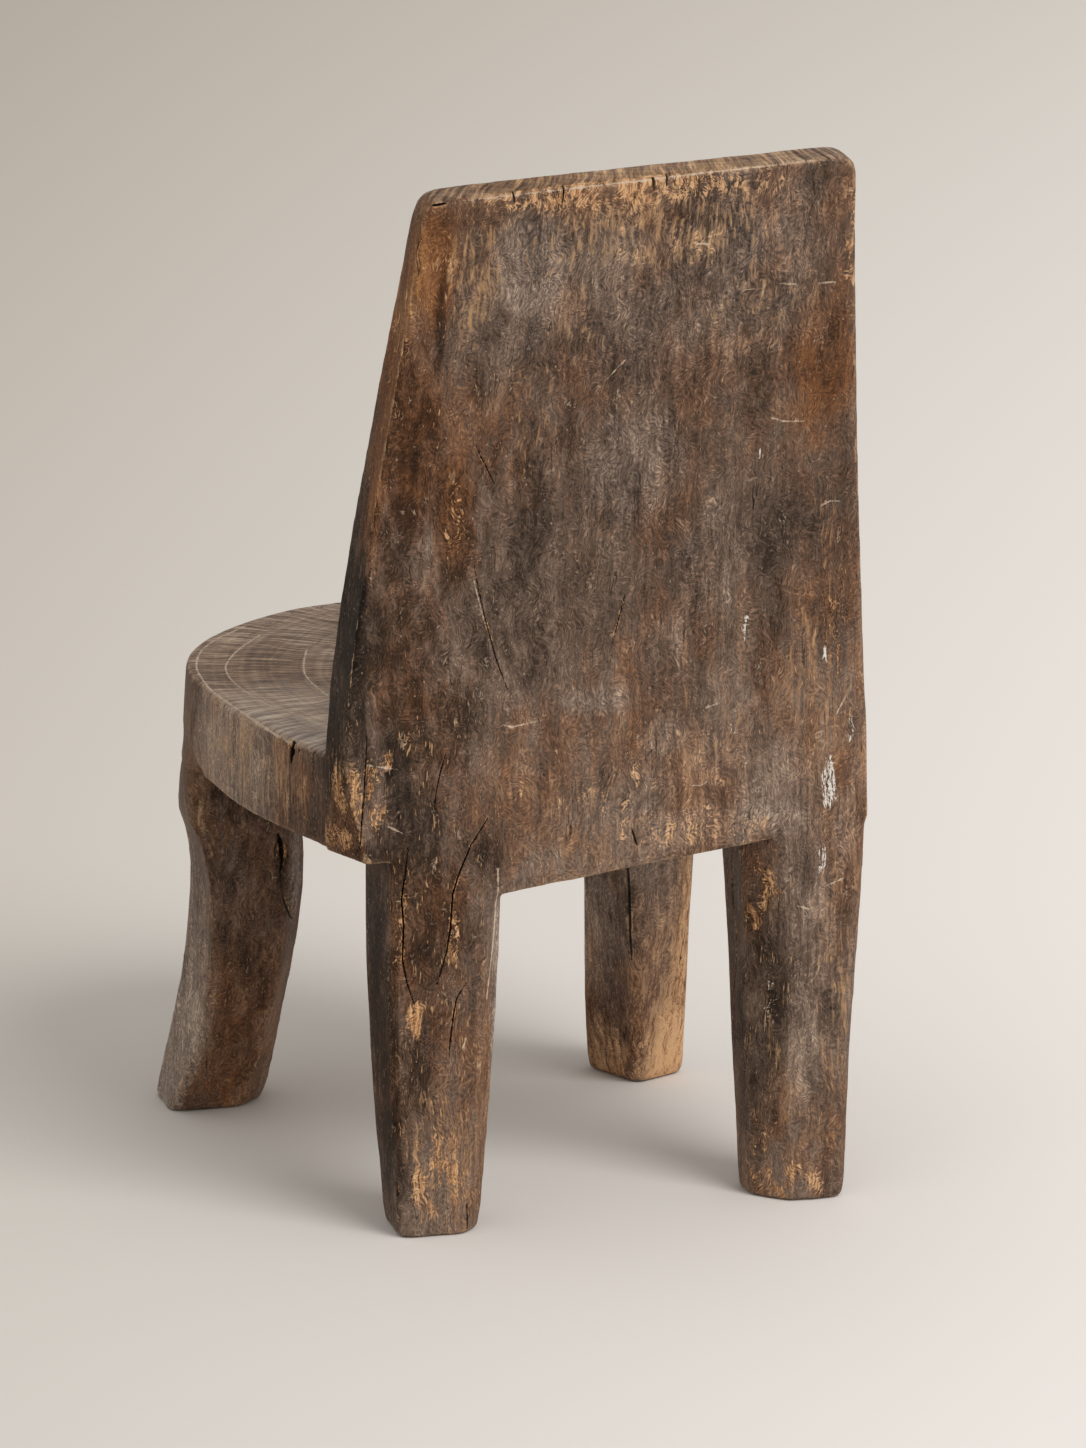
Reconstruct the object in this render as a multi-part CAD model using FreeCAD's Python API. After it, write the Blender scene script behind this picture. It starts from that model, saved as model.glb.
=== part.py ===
import FreeCAD, Part
import math
import os

# Low carved wooden chair, hewn from one upright log and modelled by its members.
# Millimetres, +Z up, the front of the chair towards -Y, the sitter's left towards +X.
# Heights are above the floor. Y is measured from the seam where the seat meets the backrest,
# and the finished members are moved so that the origin lies under the middle of the chair.

# Seat: a thick slab with a round front, a little wider below than above
seat_height = 332.0
seat_thickness = 66.0
seat_depth = 426.0
seat_front_radius = 204.0
seat_side_bow = 9.0
seat_front_flare = 2.0
seat_top_edge_round = 3.5
seat_under_edge_round = 2.0

# Backrest: a tapering slab that leans back and grows thinner towards its top.
# Its half width and its drift to the right are given at the foot, each third of the way up and the top.
back_top_height = 732.0
back_top_rise_to_right = 13.0
back_top_fall_to_rear = 0.14
back_foot_half_width = 190.0
back_lower_half_width = 182.6
back_upper_half_width = 166.0
back_top_half_width = 152.5
back_lower_drift = 1.4
back_upper_drift = 6.3
back_top_drift = 9.5
back_foot_thickness = 47.0
back_top_thickness = 28.0
back_top_lean = 60.0
back_top_corner_round = 13.0
back_top_edge_round = 3.0
back_side_edge_round = 5.0

# The backrest's low left corner is hewn off at a slant that dies out upwards
back_corner_cut = 15.0
back_corner_cut_rise = 79.0

# Apron: the backrest's lower lip between the rear legs, cut aslant
apron_left_drop = 34.5
apron_right_drop = 6.0
apron_thickness = 41.0
apron_edge_round = 5.0

# Rear legs: squared with hewn corners, tapering to the foot. Each is set in from its side of the backrest.
rear_leg_top_depth = 75.0
rear_leg_foot_depth = 57.0
rear_left_inset = 35.5
rear_left_top_width = 82.0
rear_left_top_turn = -2.0
rear_left_swell = 5.5
rear_left_foot_splay = 6.5
rear_left_foot_setback = 12.5
rear_left_foot_width = 59.0
rear_left_foot_turn = -6.0
rear_left_rear_outer_cut = 5.0
rear_left_rear_inner_cut = 13.0
rear_left_front_cut = 10.0
rear_right_inset = 0.5
rear_right_top_width = 84.0
rear_right_top_turn = -2.0
rear_right_swell = -2.1
rear_right_foot_splay = -8.0
rear_right_foot_setback = 21.5
rear_right_foot_width = 64.0
rear_right_foot_turn = -4.0
rear_right_rear_outer_cut = 6.0
rear_right_rear_inner_cut = 24.0
rear_right_front_cut = 9.0

# Front legs: bowed in below the seat, with the foot swept forward and out, and hewn corners.
# Each is set in from its side of the seat, and stands ahead of the middle of the seat's round front.
# How far out it stands and how far it is twisted are given at the foot, a third of the way up (the ankle)
# and two thirds of the way up (the knee), and the twist at the top as well.
front_left_inset = 0.5
front_left_ahead = 50.0
front_left_top_width = 76.0
front_left_top_depth = 74.0
front_left_foot_width = 73.0
front_left_foot_depth = 77.0
front_left_knee_out = -11.2
front_left_ankle_out = -5.0
front_left_foot_out = 3.9
front_left_sweep_forward = 54.0
front_left_top_turn = -10.0
front_left_knee_turn = 0.0
front_left_ankle_turn = 10.0
front_left_foot_turn = -6.0
front_left_rear_outer_cut = 6.0
front_left_rear_inner_cut = 20.0
front_left_front_cut = 25.0
front_right_inset = 35.5
front_right_ahead = 26.0
front_right_top_width = 67.0
front_right_top_depth = 70.0
front_right_foot_width = 51.0
front_right_foot_depth = 62.0
front_right_knee_out = -1.5
front_right_ankle_out = 1.0
front_right_foot_out = 7.5
front_right_sweep_forward = 34.0
front_right_top_turn = 18.0
front_right_knee_turn = 19.5
front_right_ankle_turn = 20.5
front_right_foot_turn = 22.0
front_right_rear_outer_cut = 8.0
front_right_rear_inner_cut = 5.0
front_right_front_cut = 9.0

# Levels and places that follow from the sizes above
leg_height = seat_height - seat_thickness
back_rise = back_top_height - seat_height
seat_round_y = seat_front_radius - seat_depth
rear_left_x = back_foot_half_width - rear_left_inset - rear_left_top_width / 2
rear_right_x = -back_foot_half_width + rear_right_inset + rear_right_top_width / 2

# The most of a wall that a rounded edge or a hewn corner takes
corner_share = 0.45

# How finely the curved shapes are stepped
round_step_count = 3
leg_step_count = 8
back_step_count = 7
near = 0.01

V = FreeCAD.Vector


def line(a, b):
    return Part.LineSegment(a, b).toShape()


def arc(a, middle, b):
    return Part.Arc(a, middle, b).toShape()


def between(low, high, share):
    return low + (high - low) * share


def shares(count):
    return [step / count for step in range(count + 1)]


def through(values, share):
    """Value at one share of the way along the smooth curve through evenly spaced values."""
    stations = shares(len(values) - 1)
    total = 0
    for here, value in zip(stations, values):
        for other in stations:
            if other != here:
                value *= (share - other) / (here - other)
        total += value
    return total


def hump(share):
    """A bow that is nothing at both ends and whole halfway."""
    return 4 * share * (1 - share)


def rounded_oblong(width, depth, edge_round):
    """Level outline about the origin, with an arc in each corner."""
    edge_round = min(edge_round, corner_share * min(width, depth))
    flat_x = width / 2 - edge_round
    flat_y = depth / 2 - edge_round
    bulge = edge_round * math.sqrt(0.5)
    edges = []
    end = V(-flat_x - edge_round, flat_y, 0)
    for side_x, side_y in ((-1, -1), (1, -1), (1, 1), (-1, 1)):
        upright = V(side_x * (flat_x + edge_round), side_y * flat_y, 0)
        across = V(side_x * flat_x, side_y * (flat_y + edge_round), 0)
        middle = V(side_x * (flat_x + bulge), side_y * (flat_y + bulge), 0)
        first, last = (upright, across) if side_x == side_y else (across, upright)
        edges.append(line(end, first))
        edges.append(arc(first, middle, last))
        end = last
    return Part.Wire(edges)


def hewn_oblong(outward, width, depth, rear_outer_cut, rear_inner_cut, front_cut):
    """Level outline about the origin, with each corner hewn off at a slant."""
    corners = ((1, 1, rear_outer_cut), (-1, 1, rear_inner_cut), (-1, -1, front_cut), (1, -1, front_cut))
    points = []
    for side_x, side_y, cut in corners:
        cut = min(cut, corner_share * min(width, depth))
        upright = V(outward * side_x * width / 2, side_y * (depth / 2 - cut), 0)
        across = V(outward * side_x * (width / 2 - cut), side_y * depth / 2, 0)
        points += [upright, across] if side_x == side_y else [across, upright]
    return Part.makePolygon(points + points[:1])


def loft(sections):
    return Part.makeLoft(sections, True, True)


# Seat
def seat_outline(height, inset):
    """Round front on the log's own circle, and bowed sides that run back to the backrest."""
    flare = between(seat_front_flare, 0, (height - leg_height) / seat_thickness)
    front = seat_depth + flare - inset
    side = seat_front_radius + flare - inset
    seam = back_foot_half_width - back_side_edge_round - inset
    bow = (seam + side) / 2 + seat_side_bow
    left_seam = V(seam, 0, height)
    left_side = V(side, seat_round_y, height)
    right_side = V(-side, seat_round_y, height)
    right_seam = V(-seam, 0, height)
    return Part.Wire([
        arc(left_seam, V(bow, seat_round_y / 2, height), left_side),
        arc(left_side, V(0, -front, height), right_side),
        arc(right_side, V(-bow, seat_round_y / 2, height), right_seam),
        line(right_seam, left_seam),
    ])


def quarter_round(radius):
    """Pairs of distance from the flat and inset of the edge, from the flat outwards."""
    angles = [math.pi / 2 * share for share in shares(round_step_count)]
    return [(radius * (1 - math.cos(a)), radius * (1 - math.sin(a))) for a in angles]


def seat():
    lower = [seat_outline(leg_height + rise, inset) for rise, inset in quarter_round(seat_under_edge_round)]
    upper = [seat_outline(seat_height - drop, inset) for drop, inset in quarter_round(seat_top_edge_round)]
    return loft(lower + upper[::-1])


# Backrest
def lean(foot_y, top_y, height):
    """How far back a face lies that stands upright to the seat and then leans along one arc."""
    radius = (back_rise ** 2 + (top_y - foot_y) ** 2) / (2 * (top_y - foot_y))
    above = max(0, height - seat_height)
    return foot_y + radius - math.sqrt(radius ** 2 - above ** 2)


def back_section(height, side_inset=0, face_inset=0, fall_to_left=0, fall_to_rear=0):
    """The slab cut at one height, level or along the sloping top."""
    up = (height - leg_height) / (back_top_height - leg_height)
    half_width = through([back_foot_half_width, back_lower_half_width,
                          back_upper_half_width, back_top_half_width], up)
    drift = through([0, back_lower_drift, back_upper_drift, back_top_drift], up)
    front = lean(0, back_top_lean, height)
    rear = lean(back_foot_thickness, back_top_lean + back_top_thickness, height)
    wire = rounded_oblong(2 * (half_width - side_inset), rear - front - 2 * face_inset,
                          back_side_edge_round)
    middle = V(-drift, (front + rear) / 2, height)
    tilt = FreeCAD.Rotation(V(0, 0, 1), V(fall_to_left, fall_to_rear, 1))
    wire.Placement = FreeCAD.Placement(middle, tilt)
    return wire


def edge_inset(radius, drop):
    return radius - math.sqrt(radius ** 2 - max(0, radius - drop) ** 2)


def back_slab():
    """Upright behind the seat, then leaning and thinning up to a sloping top with round corners."""
    fall_to_left = back_top_rise_to_right / (2 * back_top_half_width)
    brow = back_top_height - back_top_corner_round - back_top_rise_to_right
    sections = [back_section(leg_height)]
    sections += [back_section(between(seat_height, brow, up)) for up in shares(back_step_count)]
    for drop, side_inset in quarter_round(back_top_corner_round)[::-1]:
        face_inset = edge_inset(back_top_edge_round, drop)
        sections.append(back_section(back_top_height - drop, side_inset, face_inset,
                                     fall_to_left, back_top_fall_to_rear))
    return loft(sections)


def hewn(shape, a, b, c):
    """What is left of a shape when all that stands beyond the plane through three points is cut away."""
    beyond = (b - a).cross(c - a)
    reach = shape.BoundBox.DiagonalLength
    waste = Part.makeBox(2 * reach, 2 * reach, reach, V(-reach, -reach, 0))
    waste.Placement = FreeCAD.Placement(a, FreeCAD.Rotation(V(0, 0, 1), beyond))
    return shape.cut(waste)


def apron(legs):
    """Lip under the slab and flush with its rear, rounded below, its ends scribed to the two rear legs."""
    front = back_foot_thickness - apron_thickness
    outline = [
        V(rear_left_x, front, leg_height),
        V(rear_left_x, front, leg_height - apron_left_drop),
        V(rear_right_x, front, leg_height - apron_right_drop),
        V(rear_right_x, front, leg_height),
    ]
    lip = Part.Face(Part.makePolygon(outline + outline[:1])).extrude(V(0, apron_thickness, 0))
    long_edges = [edge for edge in lip.Edges if edge.BoundBox.XLength > apron_thickness]
    lower = [edge for edge in long_edges if edge.BoundBox.ZMax < leg_height - near]
    walls = (2 * apron_left_drop, 2 * apron_right_drop, apron_thickness)
    edge_round = min(apron_edge_round, corner_share * min(walls))
    return lip.makeFillet(edge_round, lower).cut(legs)


def backrest(legs):
    corner = V(back_foot_half_width, back_foot_thickness, leg_height)
    seam_end = corner - V(0, back_foot_thickness, 0)
    rear_end = corner - V(back_corner_cut, 0, 0)
    upper_end = corner + V(0, 0, back_corner_cut_rise)
    slab = hewn(back_slab(), seam_end, rear_end, upper_end)
    return slab.fuse(apron(legs)).removeSplitter()


# Legs
def leg(station):
    """Loft through the outlines that station gives for each share of the way up from the floor."""
    sections = []
    for up in shares(leg_step_count):
        wire, x, y, turn = station(up)
        wire.Placement = FreeCAD.Placement(V(x, y, leg_height * up), FreeCAD.Rotation(V(0, 0, 1), turn))
        sections.append(wire)
    return loft(sections)


def rear_leg(top_x, top_width, top_turn, swell, foot_splay, foot_setback, foot_width, foot_turn, cuts):
    """Flush with the rear of the slab at its top, then tapering straight to the foot."""
    outward = math.copysign(1, top_x)
    top_y = back_foot_thickness - rear_leg_top_depth / 2

    def station(up):
        x = top_x + outward * foot_splay * (1 - up)
        y = top_y + foot_setback * (1 - up)
        width = between(foot_width, top_width, up) + swell * hump(up)
        depth = between(rear_leg_foot_depth, rear_leg_top_depth, up)
        return hewn_oblong(outward, width, depth, *cuts), x, y, between(foot_turn, top_turn, up)

    return leg(station)


def front_leg(outward, inset, ahead, top_width, top_depth, foot_width, foot_depth,
              sweep_forward, outs, turns, cuts):
    """Bowed in under the seat, then swept forward and out to the foot in a slow S."""
    top_x = seat_front_radius - inset - top_width / 2
    top_y = seat_round_y - ahead

    def station(up):
        x = outward * (top_x + through(outs, up))
        y = top_y - sweep_forward * (1 - up) ** 2
        width = between(foot_width, top_width, up)
        depth = between(foot_depth, top_depth, up)
        return hewn_oblong(outward, width, depth, *cuts), x, y, through(turns, up)

    return leg(station)


rear_left_leg = rear_leg(
    rear_left_x, rear_left_top_width, rear_left_top_turn, rear_left_swell,
    rear_left_foot_splay, rear_left_foot_setback, rear_left_foot_width, rear_left_foot_turn,
    (rear_left_rear_outer_cut, rear_left_rear_inner_cut, rear_left_front_cut))
rear_right_leg = rear_leg(
    rear_right_x, rear_right_top_width, rear_right_top_turn, rear_right_swell,
    rear_right_foot_splay, rear_right_foot_setback, rear_right_foot_width, rear_right_foot_turn,
    (rear_right_rear_outer_cut, rear_right_rear_inner_cut, rear_right_front_cut))
front_left_leg = front_leg(
    1, front_left_inset, front_left_ahead, front_left_top_width, front_left_top_depth,
    front_left_foot_width, front_left_foot_depth, front_left_sweep_forward,
    (front_left_foot_out, front_left_ankle_out, front_left_knee_out, 0),
    (front_left_foot_turn, front_left_ankle_turn, front_left_knee_turn, front_left_top_turn),
    (front_left_rear_outer_cut, front_left_rear_inner_cut, front_left_front_cut))
front_right_leg = front_leg(
    -1, front_right_inset, front_right_ahead, front_right_top_width, front_right_top_depth,
    front_right_foot_width, front_right_foot_depth, front_right_sweep_forward,
    (front_right_foot_out, front_right_ankle_out, front_right_knee_out, 0),
    (front_right_foot_turn, front_right_ankle_turn, front_right_knee_turn, front_right_top_turn),
    (front_right_rear_outer_cut, front_right_rear_inner_cut, front_right_front_cut))
members = {
    "seat": seat(),
    "backrest": backrest([rear_left_leg, rear_right_leg]),
    "rear_left_leg": rear_left_leg,
    "rear_right_leg": rear_right_leg,
    "front_left_leg": front_left_leg,
    "front_right_leg": front_right_leg,
}

# The origin lies on the floor under the middle of the chair's box
box = Part.makeCompound(list(members.values())).optimalBoundingBox(False)
to_origin = V(-box.Center.x, -box.Center.y, -box.ZMin)
os.makedirs("parts", exist_ok=True)
for name, shape in members.items():
    shape.translate(to_origin)
    shape.exportStep("parts/" + name + ".step")
    size = shape.optimalBoundingBox(False)
    print(name, shape.isValid(), len(shape.Solids), round(shape.Volume),
          round(size.XLength, 1), round(size.YLength, 1), round(size.ZLength, 1))
print("chair", round(box.XLength, 1), round(box.YLength, 1), round(box.ZLength, 1),
      "moved by", [round(value, 2) for value in to_origin])
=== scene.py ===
# %% [markdown]
# # A chair hewn from one log
# The chair is a low seat with a leaning back, cut out of one upright log and worn smooth by years of use.
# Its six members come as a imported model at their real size. The lesson keeps that model as it is and makes
# a new skin over it, with the unevenness of hand work, the drying cracks and the old, rubbed wood.

# %% Load the measured chair
import math

import bmesh
import bpy
import numpy as np
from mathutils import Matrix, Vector, noise
from mathutils.kdtree import KDTree


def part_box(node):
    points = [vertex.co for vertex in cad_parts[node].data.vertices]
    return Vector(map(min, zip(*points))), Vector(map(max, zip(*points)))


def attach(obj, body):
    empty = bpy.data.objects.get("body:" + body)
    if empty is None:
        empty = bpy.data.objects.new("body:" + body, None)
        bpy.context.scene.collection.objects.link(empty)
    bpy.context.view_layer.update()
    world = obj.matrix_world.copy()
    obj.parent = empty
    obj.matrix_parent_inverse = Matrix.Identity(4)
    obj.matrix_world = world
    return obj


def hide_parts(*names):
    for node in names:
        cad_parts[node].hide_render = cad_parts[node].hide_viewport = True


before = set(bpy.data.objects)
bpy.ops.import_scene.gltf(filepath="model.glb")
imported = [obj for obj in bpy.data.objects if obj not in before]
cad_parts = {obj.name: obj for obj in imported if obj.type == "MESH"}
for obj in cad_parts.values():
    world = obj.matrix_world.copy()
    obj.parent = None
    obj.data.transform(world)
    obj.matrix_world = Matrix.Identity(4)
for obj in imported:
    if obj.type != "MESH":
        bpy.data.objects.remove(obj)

mm = 0.001
scene = bpy.context.scene
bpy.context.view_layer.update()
print("members:", sorted(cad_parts))

# %% [markdown]
# ## The camera
# The chair is seen from behind, a little from its left side and from above. The upright edges hardly
# converge, so the camera stands far off and has a long lens. The view is written as a turn round the
# chair and a rise above the floor, which is easier to adjust than a position.

# %% Place the camera
view_turn = math.radians(160)
view_rise = math.radians(14.2)
view_distance = 6.0
view_centre = Vector((-21.8, 27.1, 302)) * mm
sensor_long_side = 36.0
lens_length = 213.6

level = math.cos(view_rise)
to_camera = Vector((math.sin(view_turn) * level, -math.cos(view_turn) * level, math.sin(view_rise)))
camera = bpy.data.objects.new("camera", bpy.data.cameras.new("camera"))
camera.data.sensor_width = sensor_long_side
camera.data.lens = lens_length
camera.location = view_centre + to_camera * view_distance
camera.rotation_mode = "QUATERNION"
camera.rotation_quaternion = (-to_camera).to_track_quat("-Z", "Y")
scene.collection.objects.link(camera)
scene.camera = camera
scene.view_settings.view_transform = "Standard"
print("camera at", [round(x, 3) for x in camera.location])

# %% [markdown]
# ## Floor and light
# A wide sheet of pale paper is the whole setting: seen from above it fills the picture, so no wall is needed.
# One flat grid is enough for it.

# %% Lay the floor
floor_reach = 40.0
bm = bmesh.new()
bmesh.ops.create_grid(bm, x_segments=1, y_segments=1, size=floor_reach)
floor = bpy.data.objects.new("floor", bpy.data.meshes.new("floor"))
bm.to_mesh(floor.data)
bm.free()
scene.collection.objects.link(floor)
print("floor", 2 * floor_reach, "m wide")

# %% [markdown]
# A material is a tree of nodes. One small function adds a node with its options, inputs and colour stops, and
# another turns the hex colours that people write into the linear ones that sockets take. The paper could be
# one flat grey, but a real sheet grows darker away from the lamp, so that fall of light is painted into the
# paper's colour: a painted shade, darker further back and further from the lamp at the picture's right.

# %% Colour the paper
def linear(hex_colour):
    """An sRGB hex colour as the linear red, green, blue and alpha that sockets take."""
    channels = [int(hex_colour[i:i + 2], 16) / 255 for i in (1, 3, 5)]
    return [c / 12.92 if c <= 0.04045 else ((c + 0.055) / 1.055) ** 2.4 for c in channels] + [1.0]


def add(tree, kind, inputs, out=0, stops=(), **settings):
    """Adds a shader node with its options, inputs and colour stops, and gives back one output."""
    made = tree.nodes.new("ShaderNode" + kind)
    for name, value in settings.items():
        setattr(made, name, value)
    for socket, value in inputs.items():
        if isinstance(value, bpy.types.NodeSocket):
            tree.links.new(value, made.inputs[socket])
        else:
            made.inputs[socket].default_value = value
    for i, (position, hex_colour) in enumerate(stops):
        scale = made.color_ramp.elements
        stop = scale[i] if i < len(scale) else scale.new(position)
        stop.position = position
        stop.color = linear(hex_colour)
    return made.outputs[out] if made.outputs else None


def new_material(name):
    """A new material with an empty tree of nodes."""
    made = bpy.data.materials.new(name)
    made.use_nodes = True
    made.node_tree.nodes.clear()
    return made


# Matt paper: hardly any gloss, a warm grey white, and a painted shade that takes it slowly to a deeper grey
# away from the lamp.
paper = new_material("matt_paper")
tree = paper.node_tree
lightness = 0.72
rightward = 0.6
rightward_painted_falloff = -0.058
deep_painted_falloff = -0.094
picture_right = Vector((math.cos(view_turn), math.sin(view_turn), 0))
picture_deep = Vector((-math.sin(view_turn), math.cos(view_turn), 0))
spot = add(tree, "TexCoord", {}, out="Object")
across = add(tree, "VectorMath", {0: spot, 1: picture_right}, out="Value", operation="DOT_PRODUCT")
deep = add(tree, "VectorMath", {0: spot, 1: picture_deep}, out="Value", operation="DOT_PRODUCT")
# Painted shade: the paper's colour grows lighter towards the lamp at the picture's right and darker further
# back, as the lamp's fall of light would make it.
slope = add(tree, "Math", {0: deep, 1: rightward_painted_falloff, 2: rightward}, operation="MULTIPLY_ADD")
painted_falloff = add(tree, "Math", {0: deep, 1: deep_painted_falloff, 2: lightness}, operation="MULTIPLY_ADD")
painted_falloff = add(tree, "Math", {0: across, 1: slope, 2: painted_falloff}, operation="MULTIPLY_ADD")

# For colours, Mix takes its share at 0 and the two colours at 6 and 7, and gives the mix at 2.
painted_falloff_tint = add(tree, "Mix", {0: painted_falloff, 6: linear("#aea69a"), 7: linear("#f0ebe6")}, out=2, data_type="RGBA")
sheet = add(tree, "BsdfPrincipled", {"Base Color": painted_falloff_tint, "Roughness": 0.95, "Specular IOR Level": 0.1})
add(tree, "OutputMaterial", {"Surface": sheet})
floor.data.materials.append(paper)
print(len(tree.nodes), "nodes in the paper")

# %% [markdown]
# One large soft lamp, far off at the camera's right, and a pale sky that fills the shadows light a surface
# that faces the camera at about its written colour. An area lamp close by would do too, but its light falls
# off across the chair. A sun lamp is even, and its angle says how soft the shadows are.

# %% Hang the lamp and the sky
lamp_turn = math.radians(205)
lamp_rise = math.radians(42)
lamp_spread = math.radians(34)
lamp_strength = 1.68
sky_strength = 0.645

lamp = bpy.data.objects.new("soft_lamp", bpy.data.lights.new("soft_lamp", "SUN"))
lamp.data.angle = lamp_spread
lamp.data.energy = lamp_strength
flat = math.cos(lamp_rise)
to_lamp = Vector((math.sin(lamp_turn) * flat, -math.cos(lamp_turn) * flat, math.sin(lamp_rise)))
lamp.rotation_mode = "QUATERNION"
lamp.rotation_quaternion = (-to_lamp).to_track_quat("-Z", "Y")
scene.collection.objects.link(lamp)

sky = bpy.data.worlds.new("studio")
sky.use_nodes = True
sky.node_tree.nodes.clear()
glow = add(sky.node_tree, "Background", {"Color": linear("#fffdfa"), "Strength": sky_strength})
add(sky.node_tree, "OutputWorld", {"Surface": glow})
scene.world = sky
print("light from", [round(x, 2) for x in to_lamp])

# %% [markdown]
# ## One log again
# On the real chair nothing is joined: seat, back and legs are one piece of timber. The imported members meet
# on flat seams, and dressing each alone would leave a line at every seam. So copies of them are pushed a
# little into each other, and a voxel remesh wraps one skin round them all. Its small even faces can be
# dented and cut anywhere. The skin is parted into the six members again at the end.

# %% Wrap one skin round the members
back_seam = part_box("seat")[1].y
leg_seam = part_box("rear_left_leg")[1].z
seat_sink = 10 * mm
leg_sink = 4 * mm
weld = 0.02 * mm
skin_grain = 2.3 * mm

bm = bmesh.new()
for name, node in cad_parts.items():
    member = bmesh.new()
    member.from_mesh(node.data)
    bmesh.ops.remove_doubles(member, verts=member.verts, dist=weld)
    for v in member.verts:
        if name.endswith("leg") and v.co.z > leg_seam - weld:
            v.co.z += leg_sink
        if name == "seat" and v.co.y > back_seam - weld:
            v.co.y += seat_sink
    loose = bpy.data.meshes.new(name + "_copy")
    member.to_mesh(loose)
    member.free()
    bm.from_mesh(loose)
    bpy.data.meshes.remove(loose)
log = bpy.data.objects.new("log", bpy.data.meshes.new("log"))
bm.to_mesh(log.data)
bm.free()
scene.collection.objects.link(log)
wrap = log.modifiers.new("wrap", "REMESH")
wrap.mode = "VOXEL"
wrap.voxel_size = skin_grain
skin = bpy.data.meshes.new_from_object(log.evaluated_get(bpy.context.evaluated_depsgraph_get()))
bpy.data.objects.remove(log)
print("skin:", len(skin.vertices), "points,", len(skin.polygons), "faces")

# %% [markdown]
# The skin has far too many points to move one by one in a loop. The next steps take them all as one array
# in millimetres, move them together and put them back. Every soft edge comes from one smooth step.

# %% Reach the skin's points
def points_of(mesh):
    """The mesh's points in millimetres, one row each."""
    flat_list = np.empty(len(mesh.vertices) * 3, np.float32)
    mesh.vertices.foreach_get("co", flat_list)
    return flat_list.reshape(-1, 3).astype(float) / mm


def put_points(mesh, places):
    """Moves the mesh's points to new places in millimetres."""
    mesh.vertices.foreach_set("co", (places * mm).astype(np.float32).ravel())
    mesh.update()


def normals_of(mesh):
    """The direction that the skin faces at each point."""
    flat_list = np.empty(len(mesh.vertices) * 3, np.float32)
    mesh.vertex_normals.foreach_get("vector", flat_list)
    return flat_list.reshape(-1, 3).astype(float)


def step(value, start, end):
    """Rises smoothly from 0 at start to 1 at end."""
    share = np.clip((value - start) / (end - start), 0, 1)
    return share * share * (3 - 2 * share)


def spread(values, ends, passes):
    """Averages values over the edges that leave each point."""
    count = np.bincount(ends.ravel(), minlength=len(values))
    for _ in range(passes):
        total = np.bincount(ends[:, 0], values[ends[:, 1]], len(values))
        total += np.bincount(ends[:, 1], values[ends[:, 0]], len(values))
        values = 0.5 * values + 0.5 * total / count
    return values


edges = np.empty(len(skin.edges) * 2, np.int32)
skin.edges.foreach_get("vertices", edges)
edges = edges.reshape(-1, 2)
print("skin reaches", points_of(skin).max(axis=0).round(1), "mm")

# %% [markdown]
# Hands, clothes and floors have rounded every corner a little. Smoothing moves each point towards its
# neighbours, so a couple of passes wear the arrises off and leave the flats alone. The rear legs flow on into
# the back without a step, and so does the outside of the front left leg into the rim of the seat. Those
# stretches are smoothed many more times, by a weight that fades out. The soles' edges get a quarter of
# that weight.

# %% Wear the arrises and melt the seams
wear_passes = 2
melt_passes = 60
melt_band = (226, 252, 290, 312)
rear_melt = (188, 205)
left_leg_outside = (160, 172)
front_melt = (-40, -60)
past_rim = (190, 199)
sole_melt = 0.25
sole_band = (5, 14)
turned_back = (0.5, 0.8)
turned_left = (0.2, 0.6)

points = points_of(skin)
points = np.stack([spread(axis, edges, wear_passes) for axis in points.T], axis=1)
facing = normals_of(skin)
melting = step(points[:, 2], *melt_band[:2]) * (1 - step(points[:, 2], *melt_band[2:]))
at_rear = step(points[:, 1], *rear_melt) * (1 - step(points[:, 0], *left_leg_outside))
at_rear *= step(facing[:, 1], *turned_back)
at_front = np.maximum(step(facing[:, 0], *turned_left), step(points[:, 0], *past_rim))
at_front *= step(points[:, 1], *front_melt)
melting *= np.maximum(at_rear, at_front)
melting = np.maximum(melting, sole_melt * (1 - step(points[:, 2], *sole_band)))
for _ in range(melt_passes):
    relaxed = np.stack([spread(axis, edges, 1) for axis in points.T], axis=1)
    points += (relaxed - points) * melting[:, None]
put_points(skin, points)
print("melted", int((melting > 0.5).sum()), "points at the seams")

# %% [markdown]
# ## Cut by hand
# The maker hollowed the middle of the back into a shallow shield, let its left edge fall away, and left the
# front left leg full where it flows into the rim. A sculpting brush could do this by eye. Here each is a move
# of the skin's points along one axis, with its edges written in millimetres, so it can be set exactly.

# %% Hollow the back and round out the shoulder
shield_heights = (343, 355, 379, 401, 429, 472, 513, 554, 640)
shield_left = (-22, 36, 68, 79, 90, 96, 91, 87, 80)
shield_left_slope = (-5, 12)
shield_right = -105
shield_right_slope = (0, 60)
shield_foot = (335, 410)
shield_head = (560, 670)
shield_depth = 3.6
back_start = 150
edge_fall = 3.5
edge_fall_across = (100, 180)
edge_fall_up = (350, 420)
shoulder_heights = (185, 212, 225, 235, 248, 262, 275, 290, 332)
shoulder_moves = (0, 3.5, 7.0, 6.8, 4.0, 0.0, 1.2, 2.6, 1.0)
shoulder_across = (150, 180)
shoulder_forward = (-20, -80)
partly_back = (0.2, 0.7)
just_turned = (0.1, 0.5)

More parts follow.
